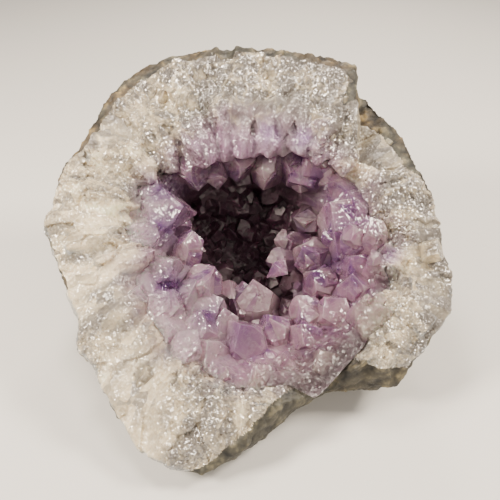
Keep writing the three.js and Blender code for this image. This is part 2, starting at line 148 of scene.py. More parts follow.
OVERHANGING_DRAWS = 4900
OVERHANGING_LENGTH = 20 * mm
OVERHANGING = [
    # degrees round the mouth, distance out, height over the face, degrees it points round and up, width
    (114, 24, 6, 292, 24, 18), (96, 24, 5, 268, 18, 19), (73, 25.5, 5, 262, 20, 21),
    (55, 31, 4.5, 258, 16, 17), (41, 35, 5, 264, 20, 16), (27, 40.5, 1, 266, 12, 9),
    (129, 32, 4, 308, 22, 17), (145, 36, 2, 325, 16, 12),
]

# Fixed numbers that scatter whole numbers over 0 to 1
SCATTER = (12.9898, 78.233, 37.719)
SCATTER_STRETCH = 43758.5453
SCATTER_SHIFT = 4.137


def merged_copy(node, name):
    """A new object with the same solid as a CAD node, its loose triangles joined."""
    mesh = frame["nodes"][node].data.copy()
    mesh.name = name
    mesh.materials.clear()
    bm = bmesh.new()
    bm.from_mesh(mesh)
    bmesh.ops.remove_doubles(bm, verts=bm.verts, dist=SAME_SPOT)
    bm.to_mesh(mesh)
    bm.free()
    piece = bpy.data.objects.new(name, mesh)
    bpy.context.scene.collection.objects.link(piece)
    return piece


def settle(piece):
    """Makes what the modifiers give the piece's own mesh."""
    bpy.context.view_layer.update()
    shaped = piece.evaluated_get(bpy.context.evaluated_depsgraph_get())
    mesh = bpy.data.meshes.new_from_object(shaped)
    piece.modifiers.clear()
    old = piece.data
    piece.data = mesh
    bpy.data.meshes.remove(old)


def chance(piece, draw):
    """A fixed number from 0 to 1 for each piece and draw."""
    spread = math.sin(piece * SCATTER[0] + draw * SCATTER[1]) * SCATTER_STRETCH
    return spread - math.floor(spread)


def face_way(degrees_round, size, up):
    """A place or a way on the broken face: degrees round the mouth, distance out and height over the face."""
    turn = math.radians(degrees_round)
    return Vector((size * math.cos(turn), size * math.sin(turn), up))


def crystal(tip, along, width, length, piece, grown):
    """One quartz crystal with its tip there: an uneven six-sided prism with six leaning end faces."""
    bm = bmesh.new()
    wear_and_highlight = bm.faces.layers.float.new("worn_edge_and_highlight")
    own = bm.faces.layers.float.new("own_draw")
    bmesh.ops.create_cone(bm, cap_ends=True, segments=6, radius1=width, radius2=width, depth=length)
    bmesh.ops.translate(bm, verts=bm.verts, vec=(0, 0, -length / 2))
    lean_out = math.sin(END_FACE_LEAN)
    lean_up = math.cos(END_FACE_LEAN)
    for side in range(6):
        turn = math.radians(60 * side)
        half = width * (HALF_WIDTH["least"] + HALF_WIDTH["more"] * chance(piece, side)) + grown
        back = END_FACE_SHIFT[side % 2] * width * chance(piece, 6 + side) - grown / lean_up
        flat = Vector((math.cos(turn), math.sin(turn), 0))
        end = Vector((lean_out * flat.x, lean_out * flat.y, lean_up))
        for where, way in ((flat * half, flat), (Vector((0, 0, -back)), end)):
            cut = bmesh.ops.bisect_plane(
                bm, geom=bm.verts[:] + bm.edges[:] + bm.faces[:], plane_co=where, plane_no=way,
                clear_outer=True, dist=1e-8,
            )
            rim = [part for part in cut["geom_cut"] if isinstance(part, bmesh.types.BMEdge)]
            if rim:
                bmesh.ops.contextual_create(bm, geom=rim)
    bmesh.ops.recalc_face_normals(bm, faces=bm.faces)
    rounded = bmesh.ops.bevel(
        bm, geom=bm.edges[:], offset=min(EDGE_WEAR, WEAR_SHARE * width), affect="EDGES", segments=1,
        profile=0.5, material=-1, clamp_overlap=True,
    )
    for face in bm.faces:
        face[own] = chance(piece, OWN_DRAW)
    # The rounded edges are marked: the material paints them paler, partly as wear and partly as a painted
    # highlight along the edge.
    for face in rounded["faces"]:
        face[wear_and_highlight] = 1.0
    upright = Vector((0, 0, 1))
    turned = upright.rotation_difference(along.normalized()).to_matrix().to_4x4()
    spun = Matrix.Rotation(2 * math.pi * chance(piece, SPIN_DRAW), 4, "Z")
    bmesh.ops.transform(bm, matrix=Matrix.Translation(tip) @ turned @ spun, verts=bm.verts)
    mesh = bpy.data.meshes.new("crystal")
    bm.to_mesh(mesh)
    bm.free()
    return bpy.data.objects.new("crystal", mesh)


def grow_together(piece, group):
    """Joins a group of closed pieces into one solid with the first, where they run into one another."""
    join = piece.modifiers.new("grown_together", "BOOLEAN")
    join.operation = "UNION"
    join.operand_type = "COLLECTION"
    join.collection = group
    join.solver = "MANIFOLD"
    settle(piece)
    for made in list(group.objects):
        mesh = made.data
        bpy.data.objects.remove(made)
        bpy.data.meshes.remove(mesh)
    bpy.data.collections.remove(group)


def new_group(name):
    group = bpy.data.collections.new(name)
    bpy.context.scene.collection.children.link(group)
    return group


def hashed(corners, draw):
    """Three fixed numbers from 0 to 1 for each row of whole numbers."""
    found = np.empty((len(corners), 3))
    for k in range(3):
        spread = corners @ np.array(SCATTER) + SCATTER_SHIFT * (draw + 10 * k)
        found[:, k] = np.modf(np.abs(np.sin(spread) * SCATTER_STRETCH))[0]
    return found


def nearest_seed(points, size, draw):
    """The way to each point from the nearest seed, and the seed's cube. Each cube has one seed."""
    base = np.floor(points / size)
    least = np.full(len(points), np.inf)
    gap = np.zeros_like(points)
    cube = np.zeros_like(points)
    for step in product((-1, 0, 1), repeat=3):
        corner = base + step
        way = points - (corner + hashed(corner, draw)) * size
        far = (way * way).sum(1)
        closer = far < least
        least[closer] = far[closer]
        gap[closer] = way[closer]
        cube[closer] = corner[closer]
    return gap, cube


def flats(points, form, draw):
    """The height of a surface broken into flats of that form, each leaning its own way."""
    gap, cube = nearest_seed(points, form["size"], draw)
    lean = 2 * hashed(cube, draw + 1) - 1
    return np.clip(2 * form["tilt"] * (lean * gap).sum(1), -form["most"], form["most"])


def lumps(points, form, draw):
    """The height of a surface covered in lumps of that form."""
    gap, _ = nearest_seed(points, form["size"], draw)
    return form["height"] * (form["middle"] - np.linalg.norm(gap, axis=1) / form["size"])


def soft_noise(points, size, draw):
    """Smooth noise from -1 to 1 with lumps of that size."""
    cell = points / size
    base = np.floor(cell)
    part = cell - base
    part = part * part * (3 - 2 * part)
    total = np.zeros(len(points))
    for step in product((0, 1), repeat=3):
        share = np.prod(np.where(step, part, 1 - part), axis=1)
        total += share * hashed(base + step, draw)[:, 0]
    return 2 * total - 1


def wandering(points):
    """Uneven noise that makes the borders between finishes wander."""
    return soft_noise(points, 9 * mm, 21) + 0.6 * soft_noise(points, 3.5 * mm, 22)


def smoothstep(low, high, value):
    t = np.clip((value - low) / (high - low), 0, 1)
    return t * t * (3 - 2 * t)


def between(limits, share):
    return limits[0] + (limits[1] - limits[0]) * share


def in_part(part, degrees):
    """1 in that part of the ring and 0 outside it."""
    start, full, full_to, end = part
    return smoothstep(start, full, degrees) * (1 - smoothstep(full_to, end, degrees))


def read(mesh, kind):
    """Three numbers for each corner of the mesh: its place, as co, or its normal."""
    values = np.empty(len(mesh.vertices) * 3, np.float32)
    if kind == "normal":
        mesh.vertex_normals.foreach_get("vector", values)
    else:
        mesh.vertices.foreach_get(kind, values)
    return values.reshape(-1, 3).astype(float)


def place_corners(mesh, points):
    mesh.vertices.foreach_set("co", points.astype(np.float32).ravel())


def store(mesh, name, values):
    """A number of its own for each corner of the mesh, which the material reads."""
    mesh.attributes.new(name, "FLOAT", "POINT").data.foreach_set("value", values.astype(np.float32))


def on_face(points):
    """Degrees round the mouth, distance from its middle, and height over the face's plane."""
    local = (points - np.array(MOUTH)) @ face_turn
    degrees = np.degrees(np.arctan2(local[:, 1], local[:, 0])) % 360
    return degrees, np.hypot(local[:, 0], local[:, 1]), local[:, 2]


def past_purple(degrees, out, wander):
    """How far each place lies beyond the purple."""
    reach = np.interp(degrees, range(0, 361, 45), np.array(PURPLE_REACH) * mm)
    return out - reach + PURPLE_RAGGED * wander


def violet_share(degrees, out):
    """How much of the deep violet growth zones shows at each place."""
    across, upward = out * np.cos(np.radians(degrees)), out * np.sin(np.radians(degrees))
    share = np.zeros(len(out))
    for deg, far, radius in VIOLET_ZONES:
        turn = math.radians(deg)
        gap = np.hypot(across - far * mm * math.cos(turn), upward - far * mm * math.sin(turn))
        share = np.maximum(share, 1 - smoothstep(0.1 * radius * mm, radius * mm, gap))
    return share


def soften(piece, name, share, rounds):
    """Wears the piece's shape down where share is over 0, more with each round."""
    group = piece.vertex_groups.new(name=name)
    for tenth in range(1, 11):
        near = np.flatnonzero(np.round(share * 10) == tenth)
        group.add(near.tolist(), tenth / 10, "REPLACE")
    wear = piece.modifiers.new(name, "SMOOTH")
    wear.factor = 0.5
    wear.iterations = rounds
    wear.vertex_group = name
    settle(piece)


def aimed(row):
    """The tip, the way and the width of a crystal, from its row of degrees and millimetres."""
    deg, far, up, aim, rise, width = row
    rise = math.radians(rise)
    tip = face_frame @ (face_way(deg, far, up) * mm)
    return tip, face_frame.to_3x3() @ face_way(aim, math.cos(rise), math.sin(rise)), width * mm


wall = merged_copy("geode_rock", "quartz_wall")
ends = new_group("ends_over_hollow")
for k, row in enumerate(OVERHANGING):
    tip, along, width = aimed(row)
    ends.objects.link(crystal(tip, along, width, OVERHANGING_LENGTH, OVERHANGING_DRAWS + k, 0))
grow_together(wall, ends)
remesh = wall.modifiers.new("even_grain", "REMESH")
remesh.mode = "VOXEL"
remesh.voxel_size = WALL_GRAIN
settle(wall)

degrees, out, lift = on_face(read(wall.data, "co"))
seam = in_part(SEAM, degrees) * smoothstep(*PAST_RIM, out)
soften(wall, "level_seam", seam, SOFTENING_ROUNDS["seam"])
left_side = in_part(LEFT_SIDE, degrees) * smoothstep(*PAST_RIM, out)
left_side = left_side * smoothstep(*LEFT_DEPTH, lift)
soften(wall, "level_left_side", left_side, SOFTENING_ROUNDS["left_side"])
degrees, out, lift = on_face(read(wall.data, "co"))
overhang = in_part(UPPER_ENDS, degrees) * (1 - smoothstep(*ENDS_REACH, out))
soften(wall, "blunt_ends", overhang * smoothstep(*NEAR_FACE, lift), SOFTENING_ROUNDS["ends"])
points = read(wall.data, "co")
normals = read(wall.data, "normal")
degrees, out, lift = on_face(points)
facing = normals @ face_turn[:, 2]

# The face's outer edge: how far out it reaches in each direction
edge_steps = np.zeros(EDGE_STEPS)
open_face = (facing > FACE_FOUND["lean"]) & (lift > FACE_FOUND["lift"])
open_step = (degrees[open_face] * EDGE_STEPS / 360).astype(int) % EDGE_STEPS
np.maximum.at(edge_steps, open_step, out[open_face])
edge_steps = np.append(edge_steps, edge_steps[0])
edge_angles = (np.arange(EDGE_STEPS + 1) + 0.5) * 360 / EDGE_STEPS
from_edge = np.interp(degrees, edge_angles, edge_steps) - out

# The break: splinters along the columns, and chips and grains that are rougher where it is sugary
along_columns = [np.radians(degrees) * RING_RADIUS, out / SPLINTER["longer"], SPLINTER["deeper"] * lift]
along_columns = np.stack(along_columns, axis=1)
sugary = smoothstep(*SUGARY["share"], soft_noise(points, SUGARY["size"], 31))
broken = flats(along_columns, SPLINTER, 1)
broken += between((CHIP["where_milky"], 1), sugary) * flats(points, CHIP, 5)
broken += between((GRAIN["where_milky"], 1), sugary) * flats(points, GRAIN, 9)
over_hollow = in_part(UPPER_ENDS, degrees) * (1 - smoothstep(*SMOOTH_REACH, out))
broken *= 1 - SMOOTHED_ENDS * over_hollow * smoothstep(*NEAR_FACE, lift)
block = smoothstep(*BLOCK["lift"], lift) * smoothstep(*BLOCK["back"], points[:, 1])
end_gap, _ = nearest_seed(points, COLUMN_END["size"], 25)
end_lump = COLUMN_END["middle"] - np.linalg.norm(end_gap, axis=1) / COLUMN_END["size"]
broken += block * (1 - over_hollow) * COLUMN_END["height"] * end_lump
clear_column = block * smoothstep(*CLEAR_COLUMN, out * np.cos(np.radians(degrees)))

# The rind: all over the outside, and over the face's edge as a ragged band
knobs = lumps(points, KNOB, 13)
grit = lumps(points, GRIT, 17)
wander = wandering(points)
ragged = RIND["ragged"] * wander
outward = normals @ face_turn[:, 0] * np.cos(np.radians(degrees))
outward = outward + normals @ face_turn[:, 1] * np.sin(np.radians(degrees))
outside = np.maximum(1 - smoothstep(*RIND["edge"], from_edge), 1 - smoothstep(*RIND["low"], lift))
under = smoothstep(*RIND["outward"], outward) * (1 - smoothstep(*RIND["under"], facing))
outside = np.maximum(outside, under)
rind = outside * (1 - smoothstep(*RIND["lean"], facing + ragged))
upper_rind = in_part(UPPER_RIND, degrees) * outside
rind = np.maximum(rind, upper_rind * (1 - smoothstep(*RIND["upper_lean"], facing + ragged)))
rind *= 1 - in_part(CLEAN_SIDE, degrees) * smoothstep(*RIND["clean_above"], lift + 3 * mm * wander)
band_degrees, band_width = np.array(RIND_BAND).T
band = np.interp(degrees, band_degrees, band_width * mm)
band_place = from_edge - RIND["band_edge"] * wander
rind = np.maximum(rind, 1 - smoothstep(band, band + RIND["band_edge"], band_place))

height = (1 - rind) * broken + rind * (knobs + grit - RIND_SUNK)
resting = points[:, 2] < RESTING_HEIGHT
height[resting] = 0
rock_low, rock_high = [np.array(corner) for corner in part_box("geode_rock")]
moved = np.clip(points + normals * height[:, None], rock_low, rock_high)
moved[resting] = points[resting]
place_corners(wall.data, moved)

# Clear quartz shows greyer. The left wall is made milkier, partly as painted light on that side.
clear = CLEARER["everywhere"] + CLEARER["block"] * block + CLEARER["left_wall_painted_light"] * in_part(LEFT_WALL, degrees)
clear = clear + CLEARER["over_hollow"] * over_hollow + CLEARER["column"] * clear_column
steep = (1 - smoothstep(*STEEP["lean"], facing)) * smoothstep(*STEEP["out"], out)
store(wall.data, "rind", rind)
store(wall.data, "raised", np.clip(0.5 + knobs / KNOB["height"] + 0.6 * grit / GRIT["height"], 0, 1))
store(wall.data, "sugary", sugary * (1 - 0.8 * clear_column))
store(wall.data, "purple", 1 - smoothstep(*PURPLE_FADE, past_purple(degrees, out, wander)))
store(wall.data, "steep", steep * smoothstep(*STEEP_SIDE, degrees))
store(wall.data, "block", block)
store(wall.data, "clear", clear)
store(wall.data, "violet", violet_share(degrees, out))
streak = wall.data.attributes.new("along_columns", "FLOAT_VECTOR", "POINT")
streak.data.foreach_set("vector", along_columns.astype(np.float32).ravel())

thin_out = wall.modifiers.new("thin_out", "DECIMATE")
thin_out.ratio = WALL_TRIANGLES / (2 * len(wall.data.polygons))
settle(wall)
place_corners(wall.data, np.clip(read(wall.data, "co"), rock_low, rock_high))
wall.data.shade_smooth()
wall.data.set_sharp_from_angle(angle=SHARP_EDGE)


def linear(hex_colour, alpha=1.0):
    """An sRGB hex colour as the linear values that sockets take."""
    parts = [int(hex_colour[i : i + 2], 16) / 255 for i in (1, 3, 5)]
    return (*[c / 12.92 if c <= 0.04045 else ((c + 0.055) / 1.055) ** 2.4 for c in parts], alpha)


def add(tree, kind, links=None, stops=(), **settings):
    """A shader node of that kind. Settings name its own, links its inputs, each a value or another node's
    output, and stops the shares and colours of its ramp."""
    node = tree.nodes.new("ShaderNode" + kind)
    for name, value in settings.items():
        setattr(node, name, value)
    for name, value in (links or {}).items():
        if isinstance(value, bpy.types.NodeSocket):
            tree.links.new(value, node.inputs[name])
        else:
            node.inputs[name].default_value = value
    for k, (share, hex_colour) in enumerate(stops):
        stop = node.color_ramp.elements[k] if k < 2 else node.color_ramp.elements.new(share)
        stop.position = share
        stop.color = linear(hex_colour)
    return node


def new_material(name):
    material = bpy.data.materials.new(name)
    material.use_nodes = True
    material.node_tree.nodes.clear()
    return material, material.node_tree


# Milky quartz, broken across. Bubbles too small to see make it white, with clear zones between, and light
# sinks a few millimetres into it. The break is glassy and chipped all over, so it sparkles from many small
# flats, less where it is milky. Real flats are down to 0.1 mm wide. They are drawn 0.8 mm wide, so they show.
QUARTZ_IOR = 1.544
BREAK_PATTERNS = {
    "drift": 6 * mm, "rims": 7.5 * mm, "sheets": 7 * mm, "chips": 2.2 * mm, "grains": 0.8 * mm,
    "clouds": 11 * mm, "shells": 0.8 * mm,
}
MILK_FROM = {"rims": 0.3, "chips": 0.24, "flecks": 0.14, "clouds": 0.9, "clear": 0.42, "nowhere_clear": -0.17}
BREAK_LEAN = {"chips": 0.6, "grains": 0.4, "sugary_grains": 1.0, "shells": 2.0}
half_way = (0.5, 0.5, 0.5)
quartz, tree = new_material("milky_quartz_broken")
place = add(tree, "TexCoord").outputs["Object"]
drift = add(tree, "TexNoise", {"Vector": place, "Scale": 1 / BREAK_PATTERNS["drift"], "Detail": 3.0})
drift = add(tree, "VectorMath", {0: drift.outputs["Color"], "Scale": 5 * mm}, operation="SCALE")
bent = add(tree, "VectorMath", {0: place, 1: drift.outputs[0]}, operation="ADD").outputs[0]
rims = add(tree, "TexVoronoi", {"Vector": bent, "Scale": 1 / BREAK_PATTERNS["rims"]},
           feature="DISTANCE_TO_EDGE")
rims = add(tree, "MapRange", {0: rims.outputs["Distance"], 1: 0.0, 2: 0.2, 3: 1.0, 4: 0.0})
streak = add(tree, "Attribute", attribute_name="along_columns").outputs["Vector"]
sheets = add(tree, "TexNoise", {
    "Vector": streak, "Scale": 1 / BREAK_PATTERNS["sheets"], "Detail": 7.0, "Roughness": 0.65,
    "Distortion": 0.6,
})
block_share = add(tree, "Attribute", attribute_name="block").outputs["Fac"]
sugar_share = add(tree, "Attribute", attribute_name="sugary").outputs["Fac"]
chips = add(tree, "TexVoronoi", {"Vector": streak, "Scale": 1 / BREAK_PATTERNS["chips"]})
grains = add(tree, "TexVoronoi", {"Vector": place, "Scale": 1 / BREAK_PATTERNS["grains"]})
chip_draw = add(tree, "SeparateColor", {0: chips.outputs["Color"]}).outputs[0]
grain_draw = add(tree, "SeparateColor", {0: grains.outputs["Color"]}).outputs[0]
milkiness = add(tree, "Math", {0: rims.outputs[0], 1: block_share}, operation="MULTIPLY")
milkiness = add(tree, "Math", {0: milkiness.outputs[0], 1: MILK_FROM["rims"], 2: sheets.outputs["Fac"]},
                operation="MULTIPLY_ADD")
milkiness = add(tree, "Math", {0: chip_draw, 1: MILK_FROM["chips"], 2: milkiness.outputs[0]},
                operation="MULTIPLY_ADD")
clear_share = add(tree, "Attribute", attribute_name="clear").outputs["Fac"]
clearer = add(tree, "Math", {0: clear_share, 1: MILK_FROM["clear"], 2: MILK_FROM["nowhere_clear"]},
              operation="MULTIPLY_ADD")
milkiness = add(tree, "Math", {0: milkiness.outputs[0], 1: clearer.outputs[0]}, operation="SUBTRACT")
flecks = add(tree, "MapRange", {0: grain_draw, 1: 0.55, 2: 0.8, 3: 0.0, 4: 1.0})
sugar = add(tree, "Math", {0: flecks.outputs[0], 1: sugar_share}, operation="MULTIPLY")
milkiness = add(tree, "Math", {0: sugar.outputs[0], 1: MILK_FROM["flecks"], 2: milkiness.outputs[0]},
                operation="MULTIPLY_ADD")
clouds = add(tree, "TexNoise", {"Vector": streak, "Scale": 1 / BREAK_PATTERNS["clouds"], "Detail": 1.0})
clouds = add(tree, "Math", {0: clouds.outputs["Fac"], 1: 0.5}, operation="SUBTRACT")
milkiness = add(tree, "Math", {0: clouds.outputs[0], 1: MILK_FROM["clouds"], 2: milkiness.outputs[0]},
                operation="MULTIPLY_ADD")
milk = add(tree, "ValToRGB", {"Fac": milkiness.outputs[0]},
           stops=((0.5, "#7c766f"), (0.66, "#ada38f"), (0.8, "#d2c5a9"), (1.0, "#fff0cf")))
steep = add(tree, "Attribute", attribute_name="steep").outputs["Fac"]
blue_share = add(tree, "Math", {0: steep, 1: 0.7}, operation="MULTIPLY")
body = add(tree, "Mix", {0: blue_share.outputs[0], 6: milk.outputs["Color"], 7: linear("#929aa0")},
           data_type="RGBA")
purple_share = add(tree, "Attribute", attribute_name="purple").outputs["Fac"]
zone = add(tree, "Math", {0: purple_share, 1: sheets.outputs["Fac"]}, operation="MULTIPLY")
zone = add(tree, "Math", {0: zone.outputs[0], 1: 1.5}, operation="MULTIPLY", use_clamp=True)
tinted = add(tree, "Mix", {0: zone.outputs[0], 6: body.outputs[2], 7: linear("#9f7d9a")},
             data_type="RGBA")
violet = add(tree, "Attribute", attribute_name="violet").outputs["Fac"]
violet = add(tree, "Math", {0: violet, 1: sheets.outputs["Fac"]}, operation="MULTIPLY")
tinted = add(tree, "Mix", {0: violet.outputs[0], 6: tinted.outputs[2], 7: linear("#8660a0")},
             data_type="RGBA")
chip_lean = add(tree, "VectorMath", {0: chips.outputs["Color"], 1: half_way}, operation="SUBTRACT")
chip_lean = add(tree, "VectorMath", {0: chip_lean.outputs[0], "Scale": BREAK_LEAN["chips"]},
                operation="SCALE")
grain_lean = add(tree, "VectorMath", {0: grains.outputs["Color"], 1: half_way}, operation="SUBTRACT")
glitter = add(tree, "Math", {0: sugar_share, 1: BREAK_LEAN["sugary_grains"], 2: BREAK_LEAN["grains"]},
              operation="MULTIPLY_ADD")
grain_lean = add(tree, "VectorMath", {0: grain_lean.outputs[0], "Scale": glitter.outputs[0]},
                 operation="SCALE")
upright = add(tree, "NewGeometry").outputs["Normal"]
shells = add(tree, "TexNoise", {
    "Vector": place, "Scale": 1 / BREAK_PATTERNS["shells"], "Detail": 2.0, "Roughness": 0.6,
})
shell_lean = add(tree, "VectorMath", {0: shells.outputs["Color"], 1: half_way}, operation="SUBTRACT")
shell_lean = add(tree, "VectorMath", {0: shell_lean.outputs[0], "Scale": BREAK_LEAN["shells"]},
                 operation="SCALE")
facet = upright
for lean in (chip_lean, shell_lean, grain_lean):
    facet = add(tree, "VectorMath", {0: facet, 1: lean.outputs[0]}, operation="ADD").outputs[0]
facet = add(tree, "VectorMath", {0: facet}, operation="NORMALIZE").outputs[0]
clean_break = add(tree, "Math", {0: clear_share, 1: 0.65, 2: 0.35}, operation="MULTIPLY_ADD")
clean_break = add(tree, "Math", {0: clean_break.outputs[0], 1: sugar_share}, operation="MULTIPLY")
gloss = add(tree, "MapRange", {0: clean_break.outputs[0], 1: 0.0, 2: 1.0, 3: 0.3, 4: 0.09})
flash = add(tree, "Math", {0: clean_break.outputs[0], 1: 0.8, 2: 0.2}, operation="MULTIPLY_ADD")
shader = add(tree, "BsdfPrincipled", {
    "Base Color": tinted.outputs[2], "Roughness": gloss.outputs[0], "Normal": facet, "IOR": QUARTZ_IOR,
    "Transmission Weight": 0.25, "Subsurface Weight": 1.0, "Subsurface Radius": (1.0, 0.95, 0.9),
    "Subsurface Scale": 2.5 * mm, "Coat Weight": flash.outputs[0], "Coat Roughness": 0.05, "Coat IOR": 2.1,
    "Coat Normal": facet,
})
add(tree, "OutputMaterial", {"Surface": shader.outputs[0]})

# Weathered basalt, the skin of the rock that the geode grew in. It is dull, pitted and uneven: rusty brown,
# paler where grains stand out and dark in the dips, and grey-green in patches and towards the front.
RIND_PATTERNS = {"crust": 5 * mm, "patches": 16 * mm, "pits": 1.2 * mm}
FRONT_GREY = (-15 * mm, -40 * mm)
rind_skin, tree = new_material("weathered_basalt_rind")
place = add(tree, "TexCoord").outputs["Object"]
crust_noise = add(tree, "TexNoise", {
    "Vector": place, "Scale": 1 / RIND_PATTERNS["crust"], "Detail": 8.0, "Roughness": 0.7,
})
raised = add(tree, "Attribute", attribute_name="raised").outputs["Fac"]
tone = add(tree, "Mix", {0: 0.35, 2: crust_noise.outputs["Fac"], 3: raised}).outputs[0]
brown = add(tree, "ValToRGB", {"Fac": tone},
            stops=((0.34, "#1d1913"), (0.53, "#4a3e2b"), (0.7, "#8f7a4e")))
patches = add(tree, "TexNoise", {"Vector": place, "Scale": 1 / RIND_PATTERNS["patches"], "Detail": 4.0})
patches = add(tree, "MapRange", {0: patches.outputs["Fac"], 1: 0.44, 2: 0.6, 3: 0.0, 4: 0.8})
depth = add(tree, "SeparateXYZ", {0: place}).outputs["Y"]
front_grey = add(tree, "MapRange", {0: depth, 1: FRONT_GREY[0], 2: FRONT_GREY[1], 3: 0.0, 4: 0.8})
patches = add(tree, "Math", {0: patches.outputs[0], 1: front_grey.outputs[0]}, operation="MAXIMUM")
greyer = add(tree, "ValToRGB", {"Fac": tone},
             stops=((0.34, "#1c1d1b"), (0.53, "#3c3d35"), (0.7, "#6e6c5a")))
grey_green = add(tree, "Mix",
                 {0: patches.outputs[0], 6: brown.outputs["Color"], 7: greyer.outputs["Color"]},
                 data_type="RGBA")
pits = add(tree, "TexNoise", {
    "Vector": place, "Scale": 1 / RIND_PATTERNS["pits"], "Detail": 3.0, "Roughness": 0.6,
})
pit_lean = add(tree, "VectorMath", {0: pits.outputs["Color"], 1: half_way}, operation="SUBTRACT")
pit_lean = add(tree, "VectorMath", {0: pit_lean.outputs[0], "Scale": 1.5}, operation="SCALE")
upright = add(tree, "NewGeometry").outputs["Normal"]
pitted = add(tree, "VectorMath", {0: upright, 1: pit_lean.outputs[0]}, operation="ADD")
pitted = add(tree, "VectorMath", {0: pitted.outputs[0]}, operation="NORMALIZE")
shader = add(tree, "BsdfPrincipled", {
    "Base Color": grey_green.outputs[2], "Roughness": 0.6, "Normal": pitted.outputs[0],
})
add(tree, "OutputMaterial", {"Surface": shader.outputs[0]})

# Each small face takes the finish that most of its corners have
wall.data.materials.clear()
wall.data.materials.append(quartz)
wall.data.materials.append(rind_skin)
rind = np.empty(len(wall.data.vertices), np.float32)
wall.data.attributes["rind"].data.foreach_get("value", rind)
corners = np.empty(len(wall.data.loops), np.int32)
wall.data.loops.foreach_get("vertex_index", corners)
starts = np.empty(len(wall.data.polygons), np.int32)
wall.data.polygons.foreach_get("loop_start", starts)
mean_rind = np.add.reduceat(rind[corners], starts) / np.diff(np.append(starts, len(corners)))
wall.data.polygons.foreach_set("material_index", (mean_rind > 0.5).astype(np.int32))
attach(wall, "root")
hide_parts("geode_rock")


# The amethyst lining
# Amethyst points of all sizes, grown side by side on the inside of the wall and into one another. Each is a
# quartz prism that ends in six faces, clear to hazy, pale at the root and deeper purple towards the tip.
LARGE_POINTS = [
    # degrees round the mouth, distance out, height over the face, degrees it points round and up, width
    (132, 22, -8, 285, -10, 12), (114, 19, -10, 275, -15, 9), (94, 20, -9, 265, -15, 11),
    (65, 20, -11, 260, -15, 11), (51, 26, -11, 250, -10, 10), (55, 28, -6, 245, 0, 9),
    (36, 31, -8, 230, 0, 10), (160, 18, 1, 350, 50, 19), (182, 24, -1, 10, 62, 17),
    (152, 30, 2, 335, 62, 14), (197, 34, 0, 20, 70, 16), (216, 38, 0, 35, 70, 15),
    (233, 22, -5, 45, 58, 12), (240, 41, -1, 60, 70, 15), (257, 40, -1, 80, 68, 14),
    (258, 26, -8, 80, 55, 12), (172, 35, 1, 355, 70, 13), (0, 31, -6, 175, 60, 13),
    (320, 37, -5, 140, 60, 12), (18, 46, -1, 185, 62, 11), (174, 16, -6, 70, 45, 9),
    (239, 14, -6, 40, 45, 11), (210, 24, -1, 20, 60, 12), (289, 13, -13.5, 100, 50, 15),
    (271, 33, -3, 110, 70, 15), (288, 30, -8, 120, 55, 11), (312, 29, -9, 130, 50, 11),
    (303, 38, -6, 120, 65, 12), (325, 10, -19, 190, 20, 9), (14, 12, -18, 180, 25, 9),
    (29, 21, -14, 190, 40, 10), (41, 28, -15, 210, 25, 9), (351, 21, -9, 170, 60, 12),
    (17, 33, -2, 150, 60, 17), (31, 35, -5, 200, 45, 9), (4, 43, 1, 110, 50, 9),
    (345, 38, -3, 160, 60, 10), (352, 48, 0, 140, 60, 9), (333, 27, -9, 150, 60, 12),
    (336, 40, -3, 140, 65, 11), (246, 30, -4, 80, 60, 12), (227, 31, 0, 50, 60, 11),
    (222, 14.3, -10, 50, 50, 12), (172, 15.5, -10, 60, 65, 13), (320, 13.5, -11, 150, 45, 11),
    (256, 15, -13, 75, 50, 10),
]
LARGE_DRAWS = 900
LARGE_LENGTH = {"longer": 1.1, "more": 4, "least": 0.5, "shorten": 0.93}
GROWN_OVER = 0.12 * mm
NEAR_TIP = {"above": -0.1, "below": 1.1, "round": 0.62}
SMALL_DRAWS = 2000
SMALL_POINTS = {"tries": 1100, "widths": (3, 8), "longer": 1.3, "splay": 0.7, "room": 6 * mm, "facing": -0.4}
BARE_FRONT = {"lift": -12 * mm, "y": -20 * mm}
THIN_LEFT = {"degrees": (145, 265), "lift": -9 * mm, "share": 0.6}
SMOOTH_FRONT = {"degrees": (270, 325), "out": 43 * mm}

# Parts of the lining, by the degrees where each starts, is full, is full up to, and ends
BROKEN_OFF = (140, 155, 250, 275)
SMOOTH_SLOPE = (268, 280, 318, 330)
UNDER_BLOCK = (15, 35, 145, 165)
BROKEN = {"out": (19 * mm, 26 * mm), "share": 0.9, "size": 7 * mm, "tilt": 0.12, "most": 1 * mm}
SLOPE = {"out": (41 * mm, 46 * mm), "above": -5 * mm, "share": 0.8}
# Heights over the face in millimetres where the painted shade down the hollow is full and where it starts,
# both higher under the block
FULL_SHADE = {"lift": -30, "higher_under_block": 14}
SHADE_FROM = {"lift": -8, "higher_under_block": 8}
# Heights over the face below which the painted shade on the low haze is full, and above which it is gone
LOW_SHADE_FADE = (-6 * mm, -2 * mm)
MILKY_FADE = (-6 * mm, 8 * mm)
BROKEN_HEIGHTS = [
    # distance out, height over the face up to which the broken-off points stand
    (20, 0), (28, -2), (38, -1), (46, 0),
]

lining = merged_copy("amethyst_crust", "amethyst_points")
lining_bm = bmesh.new()
lining_bm.from_mesh(lining.data)
lining_tree = BVHTree.FromBMesh(lining_bm)
rock_bm = bmesh.new()
rock_bm.from_mesh(frame["nodes"]["geode_rock"].data)
rock_tree = BVHTree.FromBMesh(rock_bm)
rock_bm.free()


def sunk(place, depth=0.0):
    """True where a place lies at least that deep in the rock, or in the lining."""
    for tree in (rock_tree, lining_tree):
        near, way, _, _ = tree.find_nearest(place)
        if (place - near).dot(way) < 0 and (place - near).length > depth:
            return True
    return False


def rooted(tip, along, width, length):
    """True where the whole root end of a crystal lies in the stone."""
    side = along.orthogonal().normalized() * 0.5 * width
    rim = [Matrix.Rotation(math.radians(60 * k), 3, along) @ side for k in range(6)]
    return all(sunk(tip - along * length + way) for way in rim)


